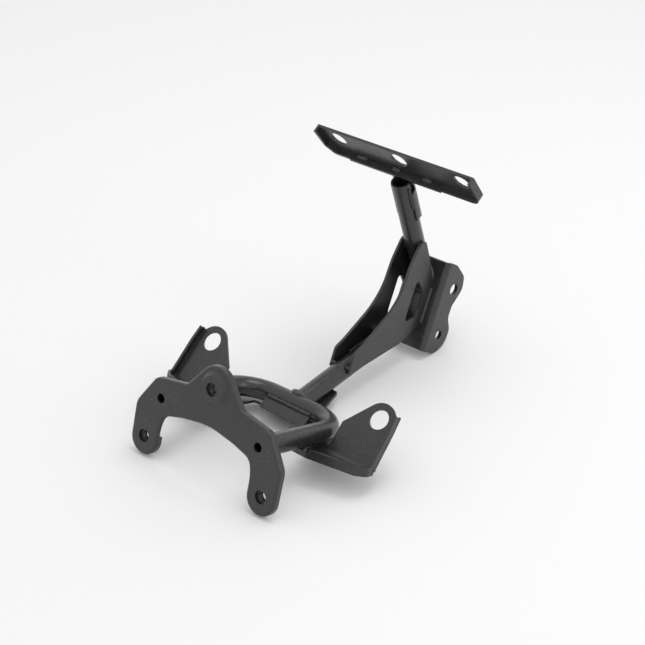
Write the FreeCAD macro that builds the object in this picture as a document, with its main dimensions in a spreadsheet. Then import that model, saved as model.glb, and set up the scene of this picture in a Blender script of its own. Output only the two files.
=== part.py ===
import FreeCAD, Part
import math
import os
import Sketcher
from FreeCAD import Vector, Placement, Rotation

# Welded steel bracket that holds a headlight in front of a steering head.
# It stands on the two feet of its front plate and on the lower corners of its
# rear channel.  X runs across the bracket, Y from the front plate to the rear
# channel, Z up.  The bracket is symmetric about the plane X = 0, and the
# origin is at the middle of its bounding box, on the ground.  Millimetres.

os.makedirs("parts", exist_ok=True)
doc = FreeCAD.newDocument("HeadlightBracket")

# ------------------------------------------------------------------ dimensions
dims = doc.addObject("Spreadsheet::Sheet", "Dims")
TABLE = [
    ("y_mid", 134.4, "front-to-rear position of the middle of the bounding box"),
    ("tube_dia", 16, "outside diameter of the hoop, arm and upright tubes"),
    ("tube_wall", 1.8, "wall of the tubes"),
    ("plate_lean", 15.8, "front plate leans back, degrees from upright"),
    ("plate_y", -10.6, "foot hole line on the plate face, front to rear"),
    ("plate_z", 13.0, "foot hole line on the plate face, height"),
    ("plate_thk", 2.4, "front plate sheet thickness"),
    ("plate_rim", 5.6, "front plate depth over its turned edge"),
    ("plate_round", 2.0, "rounding of the front edge"),
    ("foot_half", 58.5, "foot holes, half spacing"),
    ("foot_hole_dia", 10.2, "foot clearance holes"),
    ("mid_half", 48, "holes in front of the hoop ends, half spacing"),
    ("mid_up", 34.2, "those holes above the foot holes, along the plate"),
    ("mid_hole_dia", 7.2, "diameter of those holes"),
    ("lug_up", 60.2, "lug hole above the foot holes, along the plate"),
    ("lug_hole_dia", 10.2, "lug hole"),
    ("boss_base_dia", 26, "pressed boss round the lug hole, at its foot"),
    ("boss_top_dia", 20, "pressed boss, flat top"),
    ("boss_high", 3, "pressed boss height"),
    ("nut_flats", 13, "weld nut across flats"),
    ("nut_high", 5, "weld nut height"),
    ("nut_bore_dia", 6.8, "weld nut thread bore"),
    ("hoop_tilt", 17.8, "hoop plane drops to the rear, degrees"),
    ("hoop_reach", 100, "hoop cross axis behind the plate face"),
    ("hoop_round", 28, "bend radius of the hoop axis"),
    ("ear_lean", 48.5, "ear face leans back, degrees from upright"),
    ("ear_y", 90.4, "ear hole line on the ear face, front to rear"),
    ("ear_z", 39.5, "ear hole line on the ear face, height"),
    ("ear_thk", 2.2, "sheet thickness of the ear stamping"),
    ("ear_half", 84, "ear holes, half spacing"),
    ("ear_hole_dia", 15.6, "grommet holes in the ears"),
    ("ear_round", 13, "radius of the ear tip"),
    ("ear_drop", 2.3, "floor of the stamping below the hoop tube"),
    ("ear_rim", 4.8, "height of the turned edge above the ear face"),
    ("ear_lip", 4.5, "height of the upturned front edge under the hoop legs"),
    ("ear_curl", 7.2, "height of that edge outside the legs"),
    ("ear_bend", 5, "inside bend radius between floor and face"),
    ("apron_wide", 44, "width of the apron in front of the hoop cross part"),
    ("arm_y", 94, "arm axis at the hoop, front to rear"),
    ("arm_z", 14.2, "arm axis at the hoop, height"),
    ("arm_rise", 5.6, "arm rises to the rear, degrees"),
    ("arm_len", 108, "arm axis length"),
    ("gusset_thk", 2.2, "gusset sheet thickness"),
    ("gusset_in", 8, "gusset inner face from the middle plane"),
    ("post_lean", 19.7, "upright leans forward, degrees"),
    ("post_y", 217.3, "upright axis at its open top, front to rear"),
    ("post_z", 159.8, "upright axis at its open top, height"),
    ("neck_lean", 25, "rear channel leans back, degrees"),
    ("neck_y", 228.5, "rear channel web face at its foot, front to rear"),
    ("neck_z", 8.6, "rear channel web face at its foot, height"),
    ("neck_half", 20, "rear channel outer face from the middle plane"),
    ("neck_thk", 3, "rear channel sheet thickness"),
    ("neck_bend", 4.5, "rear channel outer bend radius"),
    ("neck_upper_dia", 10.2, "upper rear bolt hole"),
    ("neck_lower_dia", 8.6, "lower rear bolt hole"),
    ("neck_upper_up", 54.6, "upper rear bolt hole along the channel"),
    ("neck_lower_up", 14.8, "lower rear bolt hole along the channel"),
    ("neck_upper_back", 19.1, "upper rear bolt hole behind the web face"),
    ("neck_lower_back", 17.3, "lower rear bolt hole behind the web face"),
    ("bar_tip", 34.8, "top bar face turns down, degrees from upright"),
    ("bar_y", 213.5, "top bar middle hole on its face, front to rear"),
    ("bar_z", 178.7, "top bar middle hole on its face, height"),
    ("bar_left", 78.8, "top bar end left of the middle hole"),
    ("bar_right", 72.6, "top bar end right of the middle hole"),
    ("bar_up", 9.6, "top bar upper edge above the hole line"),
    ("bar_down", 18, "top bar lower edge below the hole line"),
    ("bar_thk", 2.2, "top bar sheet thickness"),
    ("bar_rim", 4.6, "top bar turned edge in front of the face"),
    ("bar_hole_half", 59.5, "top bar outer holes, half spacing"),
    ("bar_hole_dia", 14.6, "top bar holes"),
    ("strip_left", 52, "end of the strip along the lower edge of the top bar, left of the middle"),
    ("strip_right", 37, "end of that strip right of the middle"),
    ("strip_wide", 5.6, "depth of that strip in front of the bar face"),
    ("tongue_len", 39, "length of the curved tongue behind the upright"),
    ("tongue_wrap", 200, "angle that the tongue covers round the upright"),
    ("level", 0.49, "turn of the whole bracket that puts feet and channel on one ground, degrees"),
    ("ground", 2.22, "lift of the whole bracket onto the ground"),
    ("bead_dia", 4, "weld bead size"),
    ("gusset_bead_len", 30, "length of the beads between gussets and rear channel"),
]
for row, (alias, number, note) in enumerate(TABLE, start=1):
    dims.set("A%d" % row, alias)
    dims.set("B%d" % row, repr(number))
    dims.set("C%d" % row, note)
    dims.setAlias("B%d" % row, alias)
doc.recompute()


def cell(alias):
    return float(dims.get(alias))


LEVEL = Rotation(Vector(1, 0, 0), -cell("level"))


def at(x, y, z):
    """a point in the bracket's frame, from heights and depths of the table"""
    return LEVEL.multVec(Vector(x, y, z)) + Vector(0, -cell("y_mid"), cell("ground"))


def leaning(deg):
    """face that looks forward and leans back by deg: local Z is its normal,
    local Y runs up the face"""
    return LEVEL.multiply(Rotation(Vector(1, 0, 0), 90.0 - deg))


# ------------------------------------------------------------------ outlines
def rounded(points):
    """closed outline from corners (x, y, radius) as lines and arcs"""
    n = len(points)
    corner = []
    for i in range(n):
        px, py, _ = points[i - 1]
        cx, cy, r = points[i]
        nx, ny, _ = points[(i + 1) % n]
        a = Vector(px - cx, py - cy, 0)
        b = Vector(nx - cx, ny - cy, 0)
        a.normalize()
        b.normalize()
        c = Vector(cx, cy, 0)
        if r <= 0:
            corner.append((c, None, c))
            continue
        half = math.acos(max(-1.0, min(1.0, a.dot(b)))) / 2.0
        run = r / math.tan(half)
        mid = a + b
        mid.normalize()
        centre = c + mid * (r / math.sin(half))
        corner.append((c + a * run, centre - mid * r, c + b * run))
    edges = []
    for i in range(n):
        start, middle, end = corner[i]
        if middle is not None:
            edges.append(Part.Arc(start, middle, end))
        after = corner[(i + 1) % n][0]
        if (after - end).Length > 1e-4:
            edges.append(Part.LineSegment(end, after))
    return edges


def mirrored(half):
    """full outline from the right half, listed from the middle outwards"""
    left = [(-x, y, r) for x, y, r in reversed(half) if abs(x) > 1e-9]
    return list(half) + left


def new_body(label, base, turn):
    body = doc.addObject("PartDesign::Body", label)
    body.Label = label
    body.Placement = Placement(base, turn)
    return body


def plane(body, role="XY_Plane"):
    return [f for f in body.Origin.OriginFeatures if f.Role == role][0]


def new_sketch(body, name, offset=None, role="XY_Plane"):
    sk = body.newObject("Sketcher::SketchObject", name)
    sk.AttachmentSupport = [(plane(body, role), "")]
    sk.MapMode = "FlatFace"
    if offset is not None:
        sk.AttachmentOffset = offset
    return sk


def draw(sk, geometry):
    first = sk.GeometryCount
    sk.addGeometry(geometry, False)
    for i in range(first, sk.GeometryCount):
        sk.addConstraint(Sketcher.Constraint("Block", i))


def hole(sk, tag, x, y, radius_expr, x_expr=None, y_expr=None, r=3.0):
    """circle whose size and place follow the table"""
    i = sk.addGeometry(Part.Circle(Vector(x, y, 0), Vector(0, 0, 1), r), False)
    k = sk.addConstraint(Sketcher.Constraint("Radius", i, r))
    sk.renameConstraint(k, tag + "_r")
    sk.setExpression("Constraints." + tag + "_r", radius_expr)
    for kind, val, expr, suffix in (("DistanceX", x, x_expr, "_x"), ("DistanceY", y, y_expr, "_y")):
        if abs(val) < 1e-9:
            if kind == "DistanceX":
                sk.addConstraint(Sketcher.Constraint("PointOnObject", i, 3, -2))
            else:
                sk.addConstraint(Sketcher.Constraint("PointOnObject", i, 3, -1))
            continue
        if val > 0:
            k = sk.addConstraint(Sketcher.Constraint(kind, -1, 1, i, 3, val))
        else:
            k = sk.addConstraint(Sketcher.Constraint(kind, i, 3, -1, 1, -val))
        sk.renameConstraint(k, tag + suffix)
        if expr:
            sk.setExpression("Constraints." + tag + suffix, expr)


def pad(body, name, sk, length_expr, reverse=False, mid=False):
    f = body.newObject("PartDesign::Pad", name)
    f.Profile = sk
    f.Length = 1
    f.setExpression("Length", length_expr)
    f.Reversed = reverse
    f.Midplane = mid
    return f


def pocket(body, name, sk, length_expr=None, reverse=False, mid=False):
    f = body.newObject("PartDesign::Pocket", name)
    f.Profile = sk
    if length_expr is None:
        f.Type = 1
    else:
        f.Length = 1
        f.setExpression("Length", length_expr)
    f.Reversed = reverse
    f.Midplane = mid
    return f


def lift(z):
    return Placement(Vector(0, 0, z), Rotation())


# ------------------------------------------------------------------ front plate
# Pressed sheet with two legs, an arch between them and a round lug on top.
# The outer edge is turned back and its front corner is rounded; the arch edge
# is plain.  A raised boss surrounds the lug hole.
T = cell("plate_thk")
RIM = cell("plate_rim")
plate = new_body("front_plate", at(0, cell("plate_y"), cell("plate_z")), leaning(cell("plate_lean")))
FX, FS, FR = 58.3, -1.3, 13.0                                 # foot end: centre and radius
LUG = (7.9, 77.2, 16.4)
VALLEY = (26.8, 53.6, 8.5)
SHOULDER = (56.2, 48.4, 9.0)
KNEE = (71.9, 24.0, 13.0)
HALF = [
    LUG, VALLEY, SHOULDER, KNEE,
    (FX + FR, FS - FR, FR - 0.05), (FX - FR, FS - FR, FR - 0.05),
    (45.0, 12.0, 40.0),
    (41.8, 22.4, 9.0),
    (25.0, 27.2, 50.0),
    (0.0, 31.4, 60.0),
]
sk = new_sketch(plate, "PlateOutline")
draw(sk, rounded(mirrored(HALF)))
blank = pad(plate, "PlateBlank", sk, "Dims.plate_rim", reverse=True)
doc.recompute()
names = []
for k, e in enumerate(blank.Shape.Edges, start=1):
    bb = e.BoundBox
    if abs(bb.ZMax) < 1e-5 and abs(bb.ZMin) < 1e-5:
        names.append("Edge%d" % k)
soft = plate.newObject("PartDesign::Fillet", "PlateRound")
soft.Base = (blank, names)
soft.Radius = 1
soft.setExpression("Radius", "Dims.plate_round")
doc.recompute()
# hollow behind the face, left and right of the turned edge
INNER = [
    (LUG[0] - 1.1, LUG[1] - T, LUG[2] - T - 0.1),
    (VALLEY[0] - 1.35, VALLEY[1] - 2.45, VALLEY[2] + T),
    (SHOULDER[0] - 1.2, SHOULDER[1] - 2.55, SHOULDER[2] - T),
    (KNEE[0] - T, KNEE[1] - 0.75, KNEE[2] - T),
    (FX + FR - T, FS - FR + T, FR - T - 0.05), (FX - FR + T, FS - FR + T, FR - T - 0.05),
    (45.0 + T, 12.0, 40.0),
    (41.8 + 1.9, 22.4 + 1.9, 9.0 + T),
    (25.0, 27.2 + 2.5, 50.0),
    (0.0, 31.4 + 2.4, 60.0),
]
sk = new_sketch(plate, "PlateHollow", lift(-RIM))
draw(sk, rounded(mirrored(INNER)))
pocket(plate, "PlateHollowCut", sk, "Dims.plate_rim - Dims.plate_thk", reverse=True)
ARCH = [
    (47.8, 3.0, 0.0),
    (47.8, 12.0, 40.0),
    (45.4, 25.4, 12.0),
    (25.0, 31.4, 50.0),
    (0.0, 35.0, 60.0),
]
sk = new_sketch(plate, "ArchEdge", lift(-RIM))
draw(sk, rounded(mirrored(ARCH)))
pocket(plate, "ArchEdgeCut", sk, "Dims.plate_rim - Dims.plate_thk", reverse=True)
boss = plate.newObject("PartDesign::AdditiveCone", "Boss")
boss.AttachmentSupport = [(plane(plate), "")]
boss.MapMode = "FlatFace"
boss.AttachmentOffset = Placement(Vector(0, cell("lug_up"), -0.01), Rotation())
boss.setExpression("Radius1", "Dims.boss_base_dia / 2")
boss.setExpression("Radius2", "Dims.boss_top_dia / 2")
boss.setExpression("Height", "Dims.boss_high")
dimple = plate.newObject("PartDesign::SubtractiveCone", "BossBack")
dimple.AttachmentSupport = [(plane(plate), "")]
dimple.MapMode = "FlatFace"
dimple.AttachmentOffset = Placement(Vector(0, cell("lug_up"), -T), Rotation())
dimple.setExpression("Radius1", "Dims.boss_base_dia / 2 - 1.9")
dimple.setExpression("Radius2", "Dims.boss_top_dia / 2 - 1.9")
dimple.setExpression("Height", "Dims.boss_high")
sk = new_sketch(plate, "PlateHoles", lift(6))
hole(sk, "footR", cell("foot_half"), 0, "Dims.foot_hole_dia / 2", "Dims.foot_half")
hole(sk, "footL", -cell("foot_half"), 0, "Dims.foot_hole_dia / 2", "Dims.foot_half")
hole(sk, "midR", cell("mid_half"), cell("mid_up"), "Dims.mid_hole_dia / 2", "Dims.mid_half", "Dims.mid_up")
hole(sk, "midL", -cell("mid_half"), cell("mid_up"), "Dims.mid_hole_dia / 2", "Dims.mid_half", "Dims.mid_up")
hole(sk, "lug", 0, cell("lug_up"), "Dims.lug_hole_dia / 2", None, "Dims.lug_up")
pocket(plate, "PlateHolesCut", sk)


# ------------------------------------------------------------------ weld nuts
def nut(label, x, up, back):
    """hexagonal weld nut behind the front plate"""
    b = new_body(label, plate.Placement.multVec(Vector(x, up, back)), leaning(cell("plate_lean")))
    s = new_sketch(b, label + "_hex")
    across = cell("nut_flats")
    pts = [Vector(across / math.sqrt(3) * math.cos(math.radians(60 * k)),
                  across / math.sqrt(3) * math.sin(math.radians(60 * k)), 0) for k in range(6)]
    draw(s, [Part.LineSegment(pts[k], pts[(k + 1) % 6]) for k in range(6)])
    hole(s, "bore", 0, 0, "Dims.nut_bore_dia / 2")
    pad(b, label + "_pad", s, "Dims.nut_high", reverse=True)
    return b


left_foot_nut = nut("left_foot_nut", -cell("foot_half"), 0, -T)
right_foot_nut = nut("right_foot_nut", cell("foot_half"), 0, -T)
lug_nut = nut("lug_nut", 0, cell("lug_up"), cell("boss_high") - T)

# ------------------------------------------------------------------ hoop tube
# One tube bent to a U.  Its two ends stand on the back of the plate, round the
# middle holes, and its cross part lies low behind the plate.
R = cell("tube_dia") / 2
BORE = R - cell("tube_wall")
mid_point = plate.Placement.multVec(Vector(0, cell("mid_up"), 0))
hoop_turn = LEVEL.multiply(Rotation(Vector(1, 0, 0), -cell("hoop_tilt")))
hoop = new_body("hoop_tube", mid_point, hoop_turn)
L = cell("mid_half")
D = cell("hoop_reach")
Q = cell("hoop_round")
c45 = Q * math.sqrt(0.5)


def hoop_line():
    """axis of the hoop tube in its own plane"""
    return [
        Part.LineSegment(Vector(-L, 0, 0), Vector(-L, D - Q, 0)),
        Part.Arc(Vector(-L, D - Q, 0), Vector(-L + Q - c45, D - Q + c45, 0), Vector(-L + Q, D, 0)),
        Part.LineSegment(Vector(-L + Q, D, 0), Vector(L - Q, D, 0)),
        Part.Arc(Vector(L - Q, D, 0), Vector(L - Q + c45, D - Q + c45, 0), Vector(L, D - Q, 0)),
        Part.LineSegment(Vector(L, D - Q, 0), Vector(L, 0, 0)),
    ]


def hoop_room(body, name):
    """room for the hoop's cross part, taken out of a sheet that touches it"""
    cut = body.newObject("PartDesign::SubtractiveCylinder", name)
    cut.AttachmentSupport = [(plane(body), "")]
    cut.MapMode = "FlatFace"
    cut.setExpression("Radius", "Dims.tube_dia / 2")
    cut.Height = 60
    cut.AttachmentOffset = Placement(Vector(-30, D, 0), Rotation(Vector(0, 1, 0), 90))


path = new_sketch(hoop, "HoopPath")
draw(path, hoop_line())
ring = new_sketch(hoop, "HoopRing", role="XZ_Plane")
hole(ring, "outer", -L, 0, "Dims.tube_dia / 2", "Dims.mid_half", r=R)
hole(ring, "inner", -L, 0, "Dims.tube_dia / 2 - Dims.tube_wall", "Dims.mid_half", r=BORE)
sweep = hoop.newObject("PartDesign::AdditivePipe", "HoopSweep")
sweep.Profile = ring
sweep.Spine = path
trim = hoop.newObject("PartDesign::SubtractiveBox", "HoopEnds")
trim.AttachmentSupport = [(plane(hoop), "")]
trim.MapMode = "FlatFace"
trim.Length = 160
trim.Width = 120
trim.Height = 60
# the plate's back face, seen from the hoop's own frame
inv = hoop.Placement.inverse()
corner = inv.multiply(plate.Placement).multVec(Vector(-80, -30, -T))
plate_turn = inv.Rotation.multiply(plate.Placement.Rotation)
trim.AttachmentOffset = Placement(corner, plate_turn)


# ------------------------------------------------------------------ ear stamping
# One stamping under the hoop.  A flat floor lies under the hoop legs and the
# cross part; outside the hoop it bends up into two ears with grommet holes.
# The ears' outer edges are turned forward, the floor has a lip under its front
# edge, and a tapered tongue runs back under the arm.
ET = cell("ear_thk")
ears = new_body("ear_crossmember", mid_point, hoop_turn)
ear_angle = 90.0 - cell("ear_lean") + cell("hoop_tilt")      # face from the floor, degrees
ce, se = math.cos(math.radians(ear_angle)), math.sin(math.radians(ear_angle))
hit = inv.multVec(at(0, cell("ear_y"), cell("ear_z")))        # ear hole line in the hoop frame
floor_top = -R - cell("ear_drop")
run = (floor_top - hit.z) / se
bend_b = hit.y + run * ce                                     # where floor top meets ear face
tip = cell("ear_round")
ri = cell("ear_bend")
ro = ri + ET
# side profile: floor, bend and face, in the plane across the bracket
tan_half = math.tan(math.radians(ear_angle) / 2)
lin = ri * tan_half
cen = Vector(bend_b - lin, floor_top + ri, 0)                 # bend centre
f0 = Vector(40, floor_top, 0)
f1 = Vector(bend_b - lin, floor_top, 0)
f2 = Vector(bend_b + lin * ce, floor_top + lin * se, 0)
top_w = tip + 1.0
f3 = Vector(hit.y + top_w * ce, hit.z + top_w * se, 0)
nb = Vector(se, -ce, 0)                                       # out of the back of the face
g3 = f3 + nb * ET
g2 = f2 + nb * ET
g1 = Vector(f1.x, floor_top - ET, 0)
g0 = Vector(40, floor_top - ET, 0)
half_a = math.radians(ear_angle) / 2
inm = cen + Vector(math.sin(half_a), -math.cos(half_a), 0) * ri
outm = cen + Vector(math.sin(half_a), -math.cos(half_a), 0) * ro
sk = new_sketch(ears, "EarProfile", role="YZ_Plane")
draw(sk, [
    Part.LineSegment(f0, f1), Part.Arc(f1, inm, f2), Part.LineSegment(f2, f3),
    Part.LineSegment(f3, g3), Part.LineSegment(g3, g2), Part.Arc(g2, outm, g1),
    Part.LineSegment(g1, g0), Part.LineSegment(g0, f0),
])
wide = 101.5
strip = ears.newObject("PartDesign::Pad", "EarBlank")
strip.Profile = sk
strip.Length = 2 * wide
strip.Midplane = True
doc.recompute()
face_base = Placement(hit, Rotation(Vector(1, 0, 0), ear_angle))
# everything of the face that is not ear
EH = cell("ear_half")
inner_dir = math.radians(52)
tx, ty = EH - tip * math.sin(inner_dir), tip * math.cos(inner_dir)
low = run + lin + 0.2
ix = 57.6                                                     # clear of the hoop corners
ky = ty - (tx - ix) * math.tan(inner_dir)
sk = new_sketch(ears, "EarShape", face_base)
arc_end = math.radians(57)
s_ear = [
    Part.LineSegment(Vector(-tx, ty, 0), Vector(-ix, ky, 0)),
    Part.LineSegment(Vector(-ix, ky, 0), Vector(-ix, low, 0)),
    Part.LineSegment(Vector(-ix, low, 0), Vector(ix, low, 0)),
    Part.LineSegment(Vector(ix, low, 0), Vector(ix, ky, 0)),
    Part.LineSegment(Vector(ix, ky, 0), Vector(tx, ty, 0)),
    Part.Arc(Vector(tx, ty, 0), Vector(EH, tip, 0), Vector(EH + tip * math.sin(arc_end), tip * math.cos(arc_end), 0)),
    Part.LineSegment(Vector(EH + tip * math.sin(arc_end), tip * math.cos(arc_end), 0), Vector(96.2, 6.6, 0)),
    Part.LineSegment(Vector(96.2, 6.6, 0), Vector(98.6, 8.0, 0)),
    Part.LineSegment(Vector(98.6, 8.0, 0), Vector(99.9, -6.0, 0)),
    Part.LineSegment(Vector(99.9, -6.0, 0), Vector(101.0, low, 0)),
    Part.LineSegment(Vector(101.0, low, 0), Vector(130, low, 0)),
    Part.LineSegment(Vector(130, low, 0), Vector(130, 40, 0)),
    Part.LineSegment(Vector(130, 40, 0), Vector(-130, 40, 0)),
    Part.LineSegment(Vector(-130, 40, 0), Vector(-130, low, 0)),
    Part.LineSegment(Vector(-130, low, 0), Vector(-101.0, low, 0)),
    Part.LineSegment(Vector(-101.0, low, 0), Vector(-99.9, -6.0, 0)),
    Part.LineSegment(Vector(-99.9, -6.0, 0), Vector(-98.6, 8.0, 0)),
    Part.LineSegment(Vector(-98.6, 8.0, 0), Vector(-96.2, 6.6, 0)),
    Part.LineSegment(Vector(-96.2, 6.6, 0), Vector(-EH - tip * math.sin(arc_end), tip * math.cos(arc_end), 0)),
    Part.Arc(Vector(-EH - tip * math.sin(arc_end), tip * math.cos(arc_end), 0), Vector(-EH, tip, 0), Vector(-tx, ty, 0)),
]
draw(sk, s_ear)
f = pocket(ears, "EarShapeCut", sk, "Dims.ear_thk * 2 + 6", mid=True)
# floor outline: the cut removes what lies between the blank and this shape
FLOOR = [
    (36.0, 96.5, 2.0),
    (37.5, 78.0, 8.0),
    (44.0, 47.5, 6.0),
    (56.0, 46.8, 10.0),
    (95.0, 56.6, 8.0),
    (101.0, 64.0, 6.0),
]
front = []
pts = [(0.0, 96.5, 0.0)] + FLOOR + [(101.0, 90.0, 0.0), (140.0, 90.0, 0.0), (140.0, 30.0, 0.0)]
sk = new_sketch(ears, "FloorFront", lift(floor_top - ET / 2))
draw(sk, rounded(pts + [(-x, y, r) for x, y, r in reversed(pts) if x > 0]))
pocket(ears, "FloorFrontCut", sk, "Dims.ear_thk + 2", mid=True)
# the middle of the floor reaches back under the cross part, as far as the ears' feet
sk = new_sketch(ears, "FloorMiddle", lift(floor_top))
B1 = f1.x - 0.5
draw(sk, rounded([
    (ix + 3.0, B1, 0.0), (ix + 1.0, 88.0, 8.0), (40.0, 106.0, 10.0), (17.0, 108.0, 0.0),
    (-17.0, 108.0, 0.0), (-40.0, 106.0, 10.0), (-ix - 1.0, 88.0, 8.0), (-ix - 3.0, B1, 0.0),
    (-36.0, B1, 0.0), (-36.0, 96.5, 2.0), (36.0, 96.5, 2.0), (36.0, B1, 0.0)]))
pad(ears, "FloorMiddlePad", sk, "Dims.ear_thk", reverse=True)
# clear the bend between the ears, where the floor stays flat
sk = new_sketch(ears, "FlatMiddle", lift(floor_top))
draw(sk, rounded([(ix - 1.0, B1 - 3, 0.0), (ix - 1.0, 110.0, 0.0), (-ix + 1.0, 110.0, 0.0), (-ix + 1.0, B1 - 3, 0.0)]))
f = ears.newObject("PartDesign::Pocket", "FlatMiddleCut")
f.Profile = sk
f.Length = 20
f.Reversed = True
doc.recompute()

# turned outer edges of the ears, on the face and on the floor's sides
sk = new_sketch(ears, "EarRims", face_base)
for sgn in (1, -1):
    draw(sk, rounded([
        (sgn * 98.6, 7.0, 0.8), (sgn * 99.9, -6.0, 0.0), (sgn * 101.0, run, 0.0),
        (sgn * (101.0 - ET), run, 0.0), (sgn * (99.9 - ET), -6.0, 0.0), (sgn * (98.6 - ET), 7.0, 0.8)]))
pad(ears, "EarRimsPad", sk, "Dims.ear_rim")
# upturned front edge of the floor: it touches the legs from below and stands
# a little higher where it runs round the outer corner
sk = new_sketch(ears, "FrontLip", lift(floor_top - ET))
for sgn in (1, -1):
    draw(sk, rounded([
        (sgn * 44.0, 47.5, 0.0), (sgn * 56.0, 46.8, 10.0), (sgn * 95.0, 56.6, 8.0), (sgn * 101.0, 64.0, 6.0), (sgn * 101.0, bend_b + 1.5, 0.0),
        (sgn * (101.0 - ET), bend_b + 1.5, 0.0), (sgn * (101.0 - ET), 64.8, 6.0 - ET), (sgn * (95.0 - 1.0), 56.6 + 2.1, 8.0 - ET), (sgn * 55.8, 46.8 + 2.25, 12.0), (sgn * 44.1, 49.7, 0.0)]))
pad(ears, "FrontLipPad", sk, "Dims.ear_curl")
sk = new_sketch(ears, "LipStep", lift(floor_top - ET + cell("ear_lip") + 10.0))
for sgn in (1, -1):
    draw(sk, rounded([(sgn * 58.0, 43.0, 0.0), (sgn * 58.0, 54.0, 0.0), (sgn * 41.0, 54.0, 0.0), (sgn * 41.0, 43.0, 0.0)]))
f = ears.newObject("PartDesign::Pocket", "LipStepCut")
f.Profile = sk
f.Length = 10
doc.recompute()
sk = new_sketch(ears, "EarHoles", Placement(face_base.Base + Vector(0, -se * 3, ce * 3), face_base.Rotation))
hole(sk, "earR", EH, 0, "Dims.ear_hole_dia / 2", "Dims.ear_half")
hole(sk, "earL", -EH, 0, "Dims.ear_hole_dia / 2", "Dims.ear_half")
pocket(ears, "EarHolesCut", sk, "Dims.ear_thk + 6")
# tongue under the arm
arm_turn_deg = cell("arm_rise")
arm_base = at(0, cell("arm_y"), cell("arm_z"))
arm_turn = LEVEL.multiply(Rotation(Vector(1, 0, 0), arm_turn_deg))
arm_up = arm_turn.multVec(Vector(0, 0, 1))
tongue_base = inv.multVec(arm_base - arm_up * (R + 0.1))
tongue_turn = inv.Rotation.multiply(arm_turn)
sk = new_sketch(ears, "ArmTongue", Placement(tongue_base, tongue_turn))
draw(sk, rounded([(16.0, -6.0, 0.0), (16.0, 6.0, 3.0), (8.5, 40.0, 2.0), (-8.5, 40.0, 2.0), (-16.0, 6.0, 3.0), (-16.0, -6.0, 0.0)]))
pad(ears, "ArmTonguePad", sk, "Dims.ear_thk", reverse=True)

# ------------------------------------------------------------------ apron
# Narrow sheet that slopes down and forward from the front of the hoop's cross
# part; its rear end follows the tube.
apron = new_body("hoop_apron", mid_point, hoop_turn)
sk = new_sketch(apron, "ApronProfile", role="YZ_Plane")
slope = math.radians(50)
ad = Vector(math.cos(slope), math.sin(slope), 0)
an = Vector(math.sin(slope), -math.cos(slope), 0)


def onto_tube(start):
    """distance from start along the slope to the tube"""
    q = start - Vector(D, 0, 0)
    m = q.dot(ad)
    return -m - math.sqrt(m * m - q.dot(q) + R * R) + 1.2


a0 = Vector(85.2, -8.4, 0)
a1 = a0 + ad * onto_tube(a0)
b0 = a0 + an * cell("ear_thk")
b1 = b0 + ad * onto_tube(b0)
draw(sk, [
    Part.LineSegment(a0, a1), Part.LineSegment(a1, b1),
    Part.LineSegment(b1, b0), Part.LineSegment(b0, a0)])
pad(apron, "ApronPad", sk, "Dims.apron_wide", mid=True)
hoop_room(apron, "ApronHoopRoom")

# ------------------------------------------------------------------ arm tube
# Straight tube from the hoop's cross part back between the gussets.
arm = new_body("arm_tube", arm_base, LEVEL.multiply(Rotation(Vector(1, 0, 0), arm_turn_deg - 90.0)))
sk = new_sketch(arm, "ArmRing")
hole(sk, "outer", 0, 0, "Dims.tube_dia / 2", r=R)
hole(sk, "inner", 0, 0, "Dims.tube_dia / 2 - Dims.tube_wall", r=BORE)
pad(arm, "ArmPad", sk, "Dims.arm_len")
cope = arm.newObject("PartDesign::SubtractiveCylinder", "ArmCope")
cope.AttachmentSupport = [(plane(arm), "")]
cope.MapMode = "FlatFace"
cope.setExpression("Radius", "Dims.tube_dia / 2")
cope.Height = 60
axis_world = hoop.Placement.multVec(Vector(-30, D, 0))
ainv = arm.Placement.inverse()
cope.AttachmentOffset = Placement(ainv.multVec(axis_world), ainv.Rotation.multiply(Rotation(Vector(0, 1, 0), 90)))

# ------------------------------------------------------------------ gussets
# Two flat sheets with a long slot, one either side of the arm and the upright.
GUSSET = [
    (240.4, 103.4, 4.0),
    (233.6, 101.3, 7.0),
    (222.0, 87.0, 40.0),
    (212.5, 69.5, 40.0),
    (205.5, 61.5, 40.0),
    (194.0, 53.0, 60.0),
    (163.0, 39.4, 20.0),
    (152.6, 36.2, 6.0),
    (145.6, 20.6, 1.5),
    (210.0, 20.6, 6.0),
    (231.6, 26.4, 2.0),
]
TNECK = math.tan(math.radians(cell("neck_lean")))


def web_y(z):
    """front face of the rear channel's web at height z"""
    return cell("neck_y") + (z - cell("neck_z")) * TNECK


GUSSET[-1] = (web_y(26.4), 26.4, 0.0)
GUSSET += [(web_y(60.0), 60.0, 0.0), (web_y(60.0) - 0.8, 64.0, 4.0), (247.2, 83.0, 30.0)]
SLOT = [
    (233.6, 69.0, 3.2), (239.8, 55.5, 5.0), (235.2, 41.6, 5.0), (231.0, 37.6, 4.0), (216.6, 37.6, 3.0), (218.0, 43.0, 2.0), (229.6, 67.4, 3.0),
]


def gusset(label, x):
    b = new_body(label, at(x, 0, 0), LEVEL.multiply(Rotation(Vector(1, 1, 1), 120)))
    s = new_sketch(b, label + "_outline")
    draw(s, rounded(GUSSET))
    pad(b, label + "_pad", s, "Dims.gusset_thk")
    s = new_sketch(b, label + "_slot", lift(cell("gusset_thk")))
    draw(s, rounded(SLOT))
    pocket(b, label + "_slot_cut", s)
    return b


right_gusset = gusset("right_gusset", cell("gusset_in"))
left_gusset = gusset("left_gusset", -cell("gusset_in") - cell("gusset_thk"))

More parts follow.
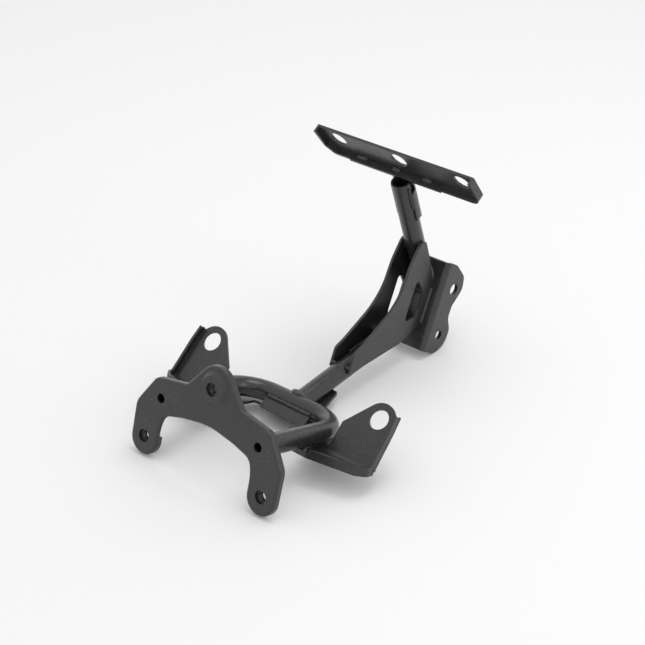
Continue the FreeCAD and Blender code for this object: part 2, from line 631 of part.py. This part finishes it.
# ------------------------------------------------------------------ rear channel
# Folded channel: the web faces forward, the flanges run back and carry two
# bolt holes a side.  The flanges are waisted between the holes.
NT = cell("neck_thk")
NH = cell("neck_half")
NB = cell("neck_bend")
neck = new_body("neck_bracket", at(0, cell("neck_y"), cell("neck_z")), leaning(cell("neck_lean")))
sk = new_sketch(neck, "NeckProfile", role="XZ_Plane")
# the XZ sketch runs X across and its own Y along local Z
back = 36.0
draw(sk, rounded([
    (NH, 0.0, NB), (NH, -back, 0.0), (NH - NT, -back, 0.0), (NH - NT, -NT, NB - NT),
    (-NH + NT, -NT, NB - NT), (-NH + NT, -back, 0.0), (-NH, -back, 0.0), (-NH, 0.0, NB)]))
f = neck.newObject("PartDesign::Pad", "NeckChannel")
f.Profile = sk
f.Length = 200
f.Midplane = True
doc.recompute()
SIDE = [
    (1.2, 0.4, 0.0), (1.2, 75.4, 0.0), (-6.0, 76.2, 4.0), (-13.5, 75.0, 5.0), (-29.0, 66.5, 8.0), (-32.3, 55.5, 10.0),
    (-24.0, 40.5, 12.0), (-23.6, 30.0, 12.0), (-31.6, 20.0, 10.0), (-30.5, 7.5, 12.0), (-19.0, -1.6, 12.0),
]
sk = new_sketch(neck, "NeckSide", role="YZ_Plane")
# the YZ sketch runs its own X along local Y and its own Y along local Z
outline = [(s_, d_, r_) for d_, s_, r_ in SIDE]
draw(sk, rounded(outline))
draw(sk, rounded([(-130, -60, 0), (130, -60, 0), (130, 30, 0), (-130, 30, 0)]))
f = neck.newObject("PartDesign::Pocket", "NeckSideCut")
f.Profile = sk
f.Type = 1
f.Midplane = True
sk = new_sketch(neck, "NeckHoles", lift(-40), role="YZ_Plane")
hole(sk, "upper", cell("neck_upper_up"), -cell("neck_upper_back"), "Dims.neck_upper_dia / 2", "Dims.neck_upper_up", "Dims.neck_upper_back", r=4)
hole(sk, "lower", cell("neck_lower_up"), -cell("neck_lower_back"), "Dims.neck_lower_dia / 2", "Dims.neck_lower_up", "Dims.neck_lower_back", r=4)
f = neck.newObject("PartDesign::Pocket", "NeckHolesCut")
f.Profile = sk
f.Length = 80
f.Reversed = True

# ------------------------------------------------------------------ upright tube
# Tube with an open top that leans forward; its foot is mitred on the web.
lean = cell("post_lean")
post_top = at(0, cell("post_y"), cell("post_z"))
post = new_body("upright_tube", post_top, LEVEL.multiply(Rotation(Vector(1, 0, 0), lean)))
sk = new_sketch(post, "PostRing")
hole(sk, "outer", 0, 0, "Dims.tube_dia / 2", r=R)
hole(sk, "inner", 0, 0, "Dims.tube_dia / 2 - Dims.tube_wall", r=BORE)
f = pad(post, "PostPad", sk, "118", reverse=True)
pinv = post.Placement.inverse()
trim = post.newObject("PartDesign::SubtractiveBox", "PostMitre")
trim.AttachmentSupport = [(plane(post), "")]
trim.MapMode = "FlatFace"
trim.Length = 40
trim.Width = 200
trim.Height = 80
trim.AttachmentOffset = Placement(pinv.multiply(neck.Placement).multVec(Vector(-20, -100, -80)),
                                  pinv.Rotation.multiply(neck.Placement.Rotation))

# ------------------------------------------------------------------ top bar
# Pressed strip with three large holes.  Its face looks forward and down; both
# ends and the lower edge are turned towards the front.
BT = cell("bar_thk")
BR = cell("bar_rim")
bar = new_body("top_bar", at(0, cell("bar_y"), cell("bar_z")), leaning(-cell("bar_tip")))
BL, BRT, BU, BD = cell("bar_left"), cell("bar_right"), cell("bar_up"), cell("bar_down")
SL, SR = cell("strip_left"), cell("strip_right")
sk = new_sketch(bar, "BarOutline", lift(-BT))
draw(sk, rounded([
    (BRT, BU, 1.5), (BRT + 1.4, -BD, 8.0), (-BL + 10.6, -BD, 6.0), (-BL + 3.0, -BD + 8.0, 5.0), (-BL, BU, 1.5)]))
pad(bar, "BarBlank", sk, "Dims.bar_thk + Dims.bar_rim")
sk = new_sketch(bar, "BarHollow")
draw(sk, rounded([
    (BRT - BT, BU + 5, 0.0), (BRT + 1.4 - BT, -BD + BT, 5.8), (-BL + 11.2, -BD + BT, 4.0), (-BL + 3.0 + BT, -BD + 8.6, 3.0), (-BL + BT, BU + 5, 0.0)]))
pocket(bar, "BarHollowCut", sk, "Dims.bar_rim + 1", reverse=True)
# the lower rim is left out where the strip of the tongue bracket takes its place
sk = new_sketch(bar, "BarGap")
draw(sk, rounded([(SR, -BD - 1.0, 0.0), (SR, -BD + BT + 0.01, 0.0), (-SL, -BD + BT + 0.01, 0.0), (-SL, -BD - 1.0, 0.0)]))
pocket(bar, "BarGapCut", sk, "Dims.bar_rim + 1", reverse=True)
sk = new_sketch(bar, "BarHoles", lift(3))
hole(sk, "right", cell("bar_hole_half"), 0, "Dims.bar_hole_dia / 2", "Dims.bar_hole_half", r=6)
hole(sk, "left", -cell("bar_hole_half"), 0, "Dims.bar_hole_dia / 2", "Dims.bar_hole_half", r=6)
hole(sk, "middle", 0, 0, "Dims.bar_hole_dia / 2", r=6)
pocket(bar, "BarHolesCut", sk)

# ------------------------------------------------------------------ tongue bracket
# Strip along the lower edge of the top bar, joined by a bend to a curved tongue
# that wraps the rear of the upright.
SW = cell("strip_wide")
TR = R + BT
tongue = new_body("tongue_bracket", post_top, post.Placement.Rotation)
half = math.radians(cell("tongue_wrap") / 2)
hs, hc = math.sin(half), math.cos(half)
sk = new_sketch(tongue, "TongueRing", lift(-cell("tongue_len")))
draw(sk, [
    Part.Arc(Vector(TR * hs, TR * hc, 0), Vector(0, TR, 0), Vector(-TR * hs, TR * hc, 0)),
    Part.LineSegment(Vector(-TR * hs, TR * hc, 0), Vector(-R * hs, R * hc, 0)),
    Part.Arc(Vector(-R * hs, R * hc, 0), Vector(0, R, 0), Vector(R * hs, R * hc, 0)),
    Part.LineSegment(Vector(R * hs, R * hc, 0), Vector(TR * hs, TR * hc, 0)),
])
pad(tongue, "TonguePad", sk, "Dims.tongue_len + 12")
# rounded lower end
sk = new_sketch(tongue, "TongueEnd", Placement(Vector(0, 0, 20), Rotation()), role="XZ_Plane")
low = -cell("tongue_len")
for sgn in (1, -1):
    draw(sk, [
        Part.LineSegment(Vector(sgn * 3.5, low - 1, 0), Vector(sgn * 3.5, low, 0)),
        Part.Arc(Vector(sgn * 3.5, low, 0), Vector(sgn * (3.5 + 8 * math.sqrt(0.5)), low + 8 * (1 - math.sqrt(0.5)), 0), Vector(sgn * 11.5, low + 8, 0)),
        Part.LineSegment(Vector(sgn * 11.5, low + 8, 0), Vector(sgn * 11.5, low - 1, 0)),
        Part.LineSegment(Vector(sgn * 11.5, low - 1, 0), Vector(sgn * 3.5, low - 1, 0)),
    ])
f = tongue.newObject("PartDesign::Pocket", "TongueEndCut")
f.Profile = sk
f.Length = 60
f.Midplane = True
tinv = tongue.Placement.inverse().multiply(bar.Placement)


def tongue_box(kind, name, corner, size):
    f = tongue.newObject(kind, name)
    f.AttachmentSupport = [(plane(tongue), "")]
    f.MapMode = "FlatFace"
    f.Length, f.Width, f.Height = size
    f.AttachmentOffset = tinv.multiply(Placement(corner, Rotation()))
    return f


tongue_box("PartDesign::SubtractiveBox", "TongueTopCut", Vector(-30, -BD, -30), (60, 40, 60))
tongue_box("PartDesign::SubtractiveBox", "TongueFrontCut", Vector(-30, -BD - 8, SW), (60, 40, 30))
f = tongue_box("PartDesign::AdditiveBox", "Strip", Vector(-SL, -BD, 0), (SL + SR, BT, SW))
f.setExpression("Length", "Dims.strip_left + Dims.strip_right")
f.setExpression("Width", "Dims.bar_thk")
f.setExpression("Height", "Dims.strip_wide")

# ------------------------------------------------------------------ weld beads
# Rings of weld round the hoop ends, behind the front plate, and straight beads
# between the gussets and the rear channel.
def hoop_bead(label, x):
    torus = doc.addObject("Part::Torus", label + "_ring")
    torus.setExpression("Radius1", "Dims.tube_dia / 2 + 0.3")
    torus.setExpression("Radius2", "Dims.bead_dia / 2")
    torus.Placement = plate.Placement.multiply(Placement(Vector(x, cell("mid_up"), -T), Rotation()))
    sheet = doc.addObject("Part::Box", label + "_sheet")
    sheet.Length, sheet.Width, sheet.Height = 40, 40, 10
    sheet.Placement = plate.Placement.multiply(Placement(Vector(x - 20, cell("mid_up") - 20, -T), Rotation()))
    pipe = doc.addObject("Part::Cylinder", label + "_pipe")
    pipe.setExpression("Radius", "Dims.tube_dia / 2")
    pipe.Height = 40
    pipe.Placement = hoop.Placement.multiply(Placement(Vector(x, -10, 0), Rotation(Vector(1, 0, 0), -90)))
    tools = doc.addObject("Part::MultiFuse", label + "_tools")
    tools.Shapes = [sheet, pipe]
    b = doc.addObject("Part::Cut", label)
    b.Base, b.Tool = torus, tools
    b.Label = label
    return b


def gusset_bead(label, side):
    x = side * (cell("gusset_in") + cell("gusset_thk"))
    rod = doc.addObject("Part::Cylinder", label + "_rod")
    rod.setExpression("Radius", "Dims.bead_dia / 2")
    rod.setExpression("Height", "Dims.gusset_bead_len")
    rod.Placement = neck.Placement.multiply(Placement(Vector(x, 22, 0), Rotation(Vector(1, 0, 0), -90)))
    web = doc.addObject("Part::Box", label + "_web")
    web.Length, web.Width, web.Height = 20, 60, 10
    web.Placement = neck.Placement.multiply(Placement(Vector(x - 10, 10, -10), Rotation()))
    sheet = doc.addObject("Part::Box", label + "_sheet")
    sheet.Length, sheet.Width, sheet.Height = 10, 60, 10
    sheet.Placement = neck.Placement.multiply(Placement(Vector(x - (10 if side > 0 else 0), 10, -2), Rotation()))
    tools = doc.addObject("Part::MultiFuse", label + "_tools")
    tools.Shapes = [web, sheet]
    b = doc.addObject("Part::Cut", label)
    b.Base, b.Tool = rod, tools
    b.Label = label
    return b


beads = [hoop_bead("left_hoop_bead", -L), hoop_bead("right_hoop_bead", L),
         gusset_bead("left_gusset_bead", -1), gusset_bead("right_gusset_bead", 1)]

PIECES = beads + [plate, left_foot_nut, right_foot_nut, lug_nut, hoop, ears, apron, arm, right_gusset, left_gusset,
          neck, post, bar, tongue]

# ------------------------------------------------------------------ checks and export
doc.recompute()
bad = []
for o in doc.Objects:
    if "Invalid" in o.State or "Error" in o.State:
        bad.append(o.Name + " " + str(o.State))
for p in PIECES:
    sh = p.Shape
    if sh.isNull() or not sh.isValid() or len(sh.Solids) != 1:
        bad.append("%s null=%s valid=%s solids=%d" % (p.Label, sh.isNull(), (not sh.isNull()) and sh.isValid(), 0 if sh.isNull() else len(sh.Solids)))
for p in PIECES:
    if not p.Shape.isNull():
        b = p.Shape.BoundBox
        print("%-18s X %7.2f %7.2f  Y %7.2f %7.2f  Z %7.2f %7.2f  V %9.1f" % (p.Label, b.XMin, b.XMax, b.YMin, b.YMax, b.ZMin, b.ZMax, p.Shape.Volume))
if bad:
    raise SystemExit("failed: " + "; ".join(bad))
for p in PIECES:
    p.Shape.exportStep("parts/" + p.Label + ".step")
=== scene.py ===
import bpy, bmesh, math, random
from mathutils import Vector, Matrix


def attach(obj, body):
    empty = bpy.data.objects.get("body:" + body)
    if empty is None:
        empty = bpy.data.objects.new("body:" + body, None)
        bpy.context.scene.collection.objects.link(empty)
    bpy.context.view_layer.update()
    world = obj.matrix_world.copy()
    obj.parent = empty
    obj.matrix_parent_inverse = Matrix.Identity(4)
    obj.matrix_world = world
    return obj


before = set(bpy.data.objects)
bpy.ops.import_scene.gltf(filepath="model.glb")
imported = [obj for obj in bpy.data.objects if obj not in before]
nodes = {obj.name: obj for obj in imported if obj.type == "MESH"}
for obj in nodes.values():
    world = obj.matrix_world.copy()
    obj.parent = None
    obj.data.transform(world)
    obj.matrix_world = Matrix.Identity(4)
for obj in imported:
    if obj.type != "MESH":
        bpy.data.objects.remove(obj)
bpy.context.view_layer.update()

scene = bpy.context.scene
random.seed(7)

# ---------------------------------------------------------------- the CAD frame
TURN = math.radians(-0.49)
CT, ST = math.cos(TURN), math.sin(TURN)


def at(x, y, z):
    """point of the bracket's drawing, in millimetres, as metres in the frame"""
    return Vector((x, y * CT - z * ST - 134.4, y * ST + z * CT + 2.22)) / 1000.0


def way(x, y, z):
    return Vector((x, y * CT - z * ST, y * ST + z * CT))


class Face:
    """flat frame: origin, X across, Y up the face, Z out of it"""
    def __init__(self, origin, deg):
        a = math.radians(90.0 - deg)
        self.o = origin
        self.x = Vector((1, 0, 0))
        self.y = way(0, math.cos(a), math.sin(a))
        self.z = way(0, -math.sin(a), math.cos(a))

    def p(self, x, y, z):
        return self.o + (self.x * x + self.y * y + self.z * z) / 1000.0


plate = Face(at(0, -10.6, 13.0), 15.8)
neck = Face(at(0, 228.5, 8.6), 25.0)
bar = Face(at(0, 213.5, 178.7), -34.8)
post = Face(at(0, 217.3, 159.8), 90.0 - 19.7)      # Z up the upright, Y to its rear
arm_o = at(0, 94.0, 14.2)
arm_d = way(0, math.cos(math.radians(5.6)), math.sin(math.radians(5.6)))
arm_u = way(0, -math.sin(math.radians(5.6)), math.cos(math.radians(5.6)))
mid = plate.p(0, 34.2, 0)
hoop_b = way(0, math.cos(math.radians(17.8)), -math.sin(math.radians(17.8)))
hoop_n = way(0, math.sin(math.radians(17.8)), math.cos(math.radians(17.8)))


def hoop(x, b, z):
    return mid + (Vector((1, 0, 0)) * x + hoop_b * b + hoop_n * z) / 1000.0


# ---------------------------------------------------------------- materials
def node(t, kind, **values):
    n = t.nodes.new(kind)
    for k, v in values.items():
        if k in n.inputs:
            n.inputs[k].default_value = v
        else:
            setattr(n, k, v)
    return n


def ramp(t, source, stops):
    r = t.nodes.new("ShaderNodeValToRGB")
    while len(r.color_ramp.elements) < len(stops):
        r.color_ramp.elements.new(0.5)
    for e, (pos, val) in zip(r.color_ramp.elements, stops):
        e.position = pos
        e.color = (val, val, val, 1)
    t.links.new(source, r.inputs["Fac"])
    return r.outputs["Color"]


def paint(name, tone, rough, peel=0.25, grit=0.0, dust=0.5, edge=0.6):
    """satin black paint: orange peel, soft colour drift, fine specks, dust on
    upward faces and thinner, lighter paint on edges"""
    m = bpy.data.materials.new(name)
    m.use_nodes = True
    t = m.node_tree
    t.nodes.clear()
    out = t.nodes.new("ShaderNodeOutputMaterial")
    bsdf = t.nodes.new("ShaderNodeBsdfPrincipled")
    t.links.new(bsdf.outputs[0], out.inputs[0])
    pos = t.nodes.new("ShaderNodeTexCoord")
    P = pos.outputs["Object"]

    def noise(scale, detail=3.0, roughness=0.55):
        n = node(t, "ShaderNodeTexNoise", Scale=scale, Detail=detail, Roughness=roughness)
        t.links.new(P, n.inputs["Vector"])
        return n.outputs["Fac"]

    drift = ramp(t, noise(28.0, 4.0), [(0.35, 0.82), (0.7, 1.18)])
    specks = ramp(t, noise(2600.0, 2.0), [(0.62, 0.0), (0.74, 1.0)])
    base = node(t, "ShaderNodeMixRGB", blend_type="MULTIPLY", Fac=1.0)
    base.inputs["Color1"].default_value = (tone[0], tone[1], tone[2], 1)
    t.links.new(drift, base.inputs["Color2"])
    # dust that settles on upward faces
    geo = t.nodes.new("ShaderNodeNewGeometry")
    sep = t.nodes.new("ShaderNodeSeparateXYZ")
    t.links.new(geo.outputs["Normal"], sep.inputs[0])
    up = ramp(t, sep.outputs["Z"], [(0.25, 0.0), (0.95, 1.0)])
    blot = ramp(t, noise(90.0, 6.0, 0.65), [(0.38, 0.25), (0.68, 1.0)])
    dm = node(t, "ShaderNodeMath", operation="MULTIPLY")
    t.links.new(up, dm.inputs[0])
    t.links.new(blot, dm.inputs[1])
    dk = node(t, "ShaderNodeMath", operation="MULTIPLY")
    t.links.new(dm.outputs[0], dk.inputs[0])
    dk.inputs[1].default_value = 0.10 * dust
    dusted = t.nodes.new("ShaderNodeMixRGB")
    t.links.new(dk.outputs[0], dusted.inputs["Fac"])
    t.links.new(base.outputs[0], dusted.inputs["Color1"])
    dusted.inputs["Color2"].default_value = (0.34, 0.33, 0.31, 1)
    # thin paint on edges
    worn = ramp(t, geo.outputs["Pointiness"], [(0.505, 0.0), (0.56, 1.0)])
    chips = ramp(t, noise(420.0, 5.0, 0.7), [(0.5, 0.0), (0.66, 1.0)])
    wm = node(t, "ShaderNodeMath", operation="MULTIPLY")
    t.links.new(worn, wm.inputs[0])
    t.links.new(chips, wm.inputs[1])
    wk = node(t, "ShaderNodeMath", operation="MULTIPLY")
    t.links.new(wm.outputs[0], wk.inputs[0])
    wk.inputs[1].default_value = 0.30 * edge
    worn_c = t.nodes.new("ShaderNodeMixRGB")
    t.links.new(wk.outputs[0], worn_c.inputs["Fac"])
    t.links.new(dusted.outputs[0], worn_c.inputs["Color1"])
    worn_c.inputs["Color2"].default_value = (0.13, 0.13, 0.135, 1)
    speck_c = t.nodes.new("ShaderNodeMixRGB")
    sk = node(t, "ShaderNodeMath", operation="MULTIPLY")
    t.links.new(specks, sk.inputs[0])
    sk.inputs[1].default_value = 0.22
    t.links.new(sk.outputs[0], speck_c.inputs["Fac"])
    t.links.new(worn_c.outputs[0], speck_c.inputs["Color1"])
    speck_c.inputs["Color2"].default_value = (0.085, 0.085, 0.09, 1)
    t.links.new(speck_c.outputs[0], bsdf.inputs["Base Color"])
    # roughness
    rr = t.nodes.new("ShaderNodeMapRange")
    t.links.new(noise(140.0, 5.0, 0.6), rr.inputs["Value"])
    rr.inputs["From Min"].default_value = 0.3
    rr.inputs["From Max"].default_value = 0.7
    rr.inputs["To Min"].default_value = rough - 0.06
    rr.inputs["To Max"].default_value = rough + 0.08
    t.links.new(rr.outputs[0], bsdf.inputs["Roughness"])
    bsdf.inputs["Specular IOR Level"].default_value = 0.5
    bsdf.inputs["Coat Weight"].default_value = 0.2
    bsdf.inputs["Coat Roughness"].default_value = 0.2
    # orange peel, grit and the round of every edge
    bev = t.nodes.new("ShaderNodeBevel")
    bev.samples = 4
    bev.inputs["Radius"].default_value = 0.0009
    b1 = t.nodes.new("ShaderNodeBump")
    b1.inputs["Strength"].default_value = peel
    b1.inputs["Distance"].default_value = 0.00025
    t.links.new(noise(620.0, 2.0), b1.inputs["Height"])
    t.links.new(bev.outputs[0], b1.inputs["Normal"])
    b2 = t.nodes.new("ShaderNodeBump")
    b2.inputs["Strength"].default_value = 0.12 + grit
    b2.inputs["Distance"].default_value = 0.0001
    t.links.new(noise(3200.0, 3.0, 0.7), b2.inputs["Height"])
    t.links.new(b1.outputs[0], b2.inputs["Normal"])
    t.links.new(b2.outputs[0], bsdf.inputs["Normal"])
    return m


SHEET = paint("paint_sheet", (0.0125, 0.0125, 0.0145), 0.36, peel=0.16, dust=0.22, edge=0.4)
TUBE = paint("paint_tube", (0.0115, 0.0115, 0.0135), 0.27, peel=0.14, dust=0.2, edge=0.4)
WELD = paint("paint_weld", (0.012, 0.012, 0.0135), 0.33, peel=0.4, grit=0.2, dust=0.3, edge=0.7)
NUT = paint("paint_nut", (0.015, 0.0148, 0.015), 0.40, grit=0.2, dust=0.3, edge=0.8)


def bare_metal():
    m = bpy.data.materials.new("bare_thread")
    m.use_nodes = True
    t = m.node_tree
    b = t.nodes["Principled BSDF"]
    b.inputs["Metallic"].default_value = 1.0
    co = t.nodes.new("ShaderNodeTexCoord")
    n = node(t, "ShaderNodeTexNoise", Scale=900.0, Detail=5.0, Roughness=0.6)
    t.links.new(co.outputs["Object"], n.inputs["Vector"])
    r = t.nodes.new("ShaderNodeValToRGB")
    r.color_ramp.elements[0].position = 0.35
    r.color_ramp.elements[0].color = (0.03, 0.029, 0.028, 1)
    r.color_ramp.elements[1].position = 0.7
    r.color_ramp.elements[1].color = (0.20, 0.195, 0.185, 1)
    t.links.new(n.outputs["Fac"], r.inputs["Fac"])
    t.links.new(r.outputs["Color"], b.inputs["Base Color"])
    t.links.new(ramp(t, n.outputs["Fac"], [(0.3, 0.32), (0.7, 0.52)]), b.inputs["Roughness"])
    bp = t.nodes.new("ShaderNodeBump")
    bp.inputs["Strength"].default_value = 0.3
    bp.inputs["Distance"].default_value = 0.0001
    t.links.new(n.outputs["Fac"], bp.inputs["Height"])
    t.links.new(bp.outputs[0], b.inputs["Normal"])
    return m


THREAD = bare_metal()

for name, o in nodes.items():
    if name.endswith("_bead"):
        mat = WELD
    elif name.endswith("_nut"):
        mat = NUT
    elif name in ("hoop_tube", "arm_tube", "upright_tube"):
        mat = TUBE
    else:
        mat = SHEET
    o.data.materials.clear()
    o.data.materials.append(mat)


# ---------------------------------------------------------------- pieces
def mesh_piece(name, verts, faces, mat, smooth=True):
    me = bpy.data.meshes.new(name)
    me.from_pydata([tuple(v) for v in verts], [], faces)
    me.validate()
    bm = bmesh.new()
    bm.from_mesh(me)
    bmesh.ops.recalc_face_normals(bm, faces=bm.faces)
    bm.to_mesh(me)
    bm.free()
    for p in me.polygons:
        p.use_smooth = smooth
    o = bpy.data.objects.new(name, me)
    scene.collection.objects.link(o)
    me.materials.append(mat)
    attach(o, "root")
    return o


def bead(name, path, width, pitch=1.5, closed=False, height=None):
    """weld bead along a path of (point, outward normal): overlapping ripples
    with an uneven toe; width and height in millimetres"""
    height = height or width * 0.5
    pts = [p for p, _ in path]
    length = sum((pts[i + 1] - pts[i]).length for i in range(len(pts) - 1)) * 1000
    steps = max(10, int(length / 0.22))
    # resample
    cum = [0.0]
    for i in range(len(pts) - 1):
        cum.append(cum[-1] + (pts[i + 1] - pts[i]).length)
    res = []
    k = 0
    for s in range(steps + 1):
        d = cum[-1] * s / steps
        while k < len(pts) - 2 and cum[k + 1] < d:
            k += 1
        f = (d - cum[k]) / max(1e-9, cum[k + 1] - cum[k])
        res.append((pts[k].lerp(pts[k + 1], f), path[k][1].lerp(path[k + 1][1], f).normalized()))
    seg = 12
    verts, faces = [], []
    wob = random.uniform(0, 6)
    for i, (p, n) in enumerate(res):
        a = res[max(0, i - 1)][0]
        b = res[min(len(res) - 1, i + 1)][0]
        tan = (b - a).normalized()
        side = tan.cross(n).normalized()
        d = length * i / steps
        ph = (d / pitch) % 1.0
        ripple = 0.86 + 0.2 * math.sin(math.pi * ph) ** 0.6
        wander = 1.0 + 0.10 * math.sin(d * 0.9 + wob) + 0.06 * math.sin(d * 2.3 + 2 * wob)
        end = 1.0
        if not closed:
            e = min(d, length - d) / (0.5 * width)
            end = math.sqrt(max(0.0, 1 - (1 - min(1.0, e)) ** 2)) * 0.97 + 0.03
        for j in range(seg):
            ang = 2 * math.pi * j / seg
            w = 0.5 * width * wander * ripple * end * math.cos(ang)
            h = height * ripple * end * math.sin(ang)
            lag = -0.35 * pitch * max(0.0, math.sin(ang)) * 0.4
            verts.append(p + (side * w + n * h + tan * lag) / 1000.0)
    rows = len(res)
    for i in range(rows - 1):
        for j in range(seg):
            faces.append((i * seg + j, i * seg + (j + 1) % seg, (i + 1) * seg + (j + 1) % seg, (i + 1) * seg + j))
    if not closed:
        faces.append(tuple(range(seg)))
        faces.append(tuple((rows - 1) * seg + j for j in range(seg)))
    return mesh_piece(name, verts, faces, WELD)


# collar where the arm meets the hoop's cross part
R = 8.0
H = hoop(0, 100, 0)
q = (arm_o - H) * 1000
path = []
for k in range(-62, 63, 4):
    a = math.radians(90 + k * 2.0)
    s, c = math.sin(a), math.cos(a)
    q0 = q + arm_u * (R * s)
    m_ = q0.dot(arm_d)
    disc = m_ * m_ - (q0.dot(q0) - R * R)
    t_ = -m_ + math.sqrt(max(0.0, disc))
    p = arm_o + (Vector((1, 0, 0)) * (R * c) + arm_u * (R * s) + arm_d * t_) / 1000.0
    out = (Vector((1, 0, 0)) * c + arm_u * s)
    from_hoop = (p - H)
    from_hoop.x = 0
    n = (out + from_hoop.normalized() * 0.8).normalized()
    path.append((p, n))
bead("weld_arm_hoop", path, 6.4, 2.0, height=2.5)

# foot of the upright on the web of the rear channel
path = []
for k in range(0, 361, 12):
    a = math.radians(k + 90)
    s, c = math.sin(a), math.cos(a)
    p0 = post.p(R * c, R * s, 0)
    down = -post.z
    t_ = (neck.o - p0).dot(neck.z) / down.dot(neck.z)
    p = p0 + down * t_
    out = (post.x * c + post.y * s)
    path.append((p, (out + neck.z * 0.9).normalized()))
bead("weld_upright_web", path, 5.0, 1.7, closed=True, height=2.0)

# tips of the gussets on the arm, and their upper ends on the upright
for sx, tag in ((-1, "left"), (1, "right")):
    x = sx * 8.3
    z_arm = lambda y: 14.2 + (y - 94.0) * math.tan(math.radians(5.6))
    p = [(at(sx * 7.0, 146.5 + i * 1.1, z_arm(148) + 5.2), (way(sx * 0.2, -0.35, 0.9)).normalized()) for i in range(5)]
    bead("weld_tip_" + tag, p, 5.0, 1.6, height=2.0)
    lo = 168.0
    p = [(at(sx * 7.6, lo + i * 4.0, z_arm(lo + i * 4.0) + 3.4), way(-sx * 0.55, 0, 0.83).normalized()) for i in range(8)]
    bead("weld_arm_" + tag, p, 3.0, 1.5, height=1.2)
    p = []
    for i in range(6):
        f = post.p(sx * 7.9, -3.2, -60.5 - i * 2.2)
        p.append((f, (way(-sx * 0.7, -0.7, 0.1)).normalized()))
    bead("weld_top_" + tag, p, 3.0, 1.5, height=1.2)

# apron on the hoop's cross part
p = [(hoop(-21.5 + i * 4.3, 91.6, 0.3), (hoop_n * 0.72 - hoop_b * 0.69).normalized()) for i in range(11)]
bead("weld_apron", p, 3.0, 1.4, height=1.1)
# hoop legs on the floor's front edge
for sx, tag in ((-1, "left"), (1, "right")):
    p = [(hoop(sx * (53.0 + i * 0.7), 46.2 + i * 0.3, -6.6 - i * 0.25), (hoop_n * 0.5 - hoop_b * 0.6 + Vector((sx, 0, 0)) * 0.6).normalized()) for i in range(6)]
    bead("weld_lip_" + tag, p, 3.6, 1.5, height=1.3)
# strip on the top bar
for xc, tag, ln in ((-42.0, "a", 10), (22.0, "b", 9), (-8.0, "c", 8)):
    p = [(bar.p(xc - ln / 2 + i * ln / 5, -15.9, 0.6), (bar.y * 0.75 + bar.z * 0.66).normalized()) for i in range(6)]
    bead("weld_strip_" + tag, p, 4.4, 1.6, height=1.5)
# tongue on the upright, along its two side edges
for sx, tag in ((-1, "left"), (1, "right")):
    p = [(post.p(sx * 8.5, -1.9, -4.0 - i * 3.0), (Vector((sx, 0, 0)) * 0.8 - post.y * 0.6).normalized()) for i in range(8)]
    bead("weld_tongue_" + tag, p, 2.6, 1.4, height=1.0)


def thread(name, centre, axis, up, r_out, depth, pitch, length):
    """helical thread ridge on the wall of a bore"""
    side = axis.cross(up).normalized()
    up = side.cross(axis).normalized()
    turns = length / pitch
    n = int(turns * 36)
    verts, faces = [], []
    for i in range(n + 1):
        a = 2 * math.pi * i / 36
        zc = -length / 2 + length * i / n
        rad = up * math.cos(a) + side * math.sin(a)
        fade = min(1.0, i / 9.0, (n - i) / 9.0)
        for rr, dz in ((r_out, -0.42), (r_out - depth * fade, -0.06), (r_out - depth * fade, 0.06), (r_out, 0.42)):
            verts.append(centre + (rad * rr + axis * (zc + dz * pitch)) / 1000.0)
    for i in range(n):
        for j in range(3):
            faces.append((i * 4 + j, i * 4 + j + 1, (i + 1) * 4 + j + 1, (i + 1) * 4 + j))
    return mesh_piece(name, verts, faces, THREAD)


for x, up_, zf, tag in ((-58.5, 0, -2.4, "left_foot"), (58.5, 0, -2.4, "right_foot"), (0, 60.2, 0.6, "lug")):
    thread("thread_" + tag, plate.p(x, up_, zf - 2.5), plate.z, plate.y, 3.39, 0.55, 1.25, 3.9)

# ---------------------------------------------------------------- stage
bpy.ops.mesh.primitive_plane_add(size=8, location=(0, 0, -0.0004))
floor = bpy.context.object
floor.name = "stage_floor"
fm = bpy.data.materials.new("stage_pale")
fm.use_nodes = True
fb = fm.node_tree.nodes["Principled BSDF"]
fb.inputs["Base Color"].default_value = (0.785, 0.785, 0.79, 1)
fb.inputs["Roughness"].default_value = 0.9
fb.inputs["Specular IOR Level"].default_value = 0.1
floor.data.materials.append(fm)

world = bpy.data.worlds.new("studio")
scene.world = world
world.use_nodes = True
bg = world.node_tree.nodes["Background"]
bg.inputs["Color"].default_value = (1.0, 1.0, 1.0, 1)
bg.inputs["Strength"].default_value = 1.0


def area(name, loc, target, size, power):
    l = bpy.data.lights.new(name, "AREA")
    l.shape = "SQUARE"
    l.size = size
    l.energy = power
    o = bpy.data.objects.new(name, l)
    o.location = loc
    o.rotation_euler = (Vector(target) - Vector(loc)).to_track_quat("-Z", "Y").to_euler()
    scene.collection.objects.link(o)
    return o


area("key_top", (0.15, 0.35, 1.5), (0, 0, 0.05), 0.7, 5.0)
area("fill_right", (1.5, 0.2, 0.8), (0, 0, 0.08), 0.7, 3.0)

# ---------------------------------------------------------------- camera
cam = bpy.data.cameras.new("camera")
cam.sensor_fit = "HORIZONTAL"
cam.sensor_width = 36.0
cam.lens = 1600.0 / 645.0 * 36.0
cam.clip_start = 0.01
cam.clip_end = 50
co = bpy.data.objects.new("camera", cam)
scene.collection.objects.link(co)
rx = Vector((0.762561, 0.64689, 0.005821))
vz = Vector((0.554622, -0.658373, 0.508861))
uy = vz.cross(rx)
rot = Matrix((rx, uy, vz)).transposed().to_4x4()
co.matrix_world = Matrix.Translation(Vector((675.828, -810.86, 694.984)) / 1000.0) @ rot
scene.camera = co
scene.view_settings.view_transform = "Standard"
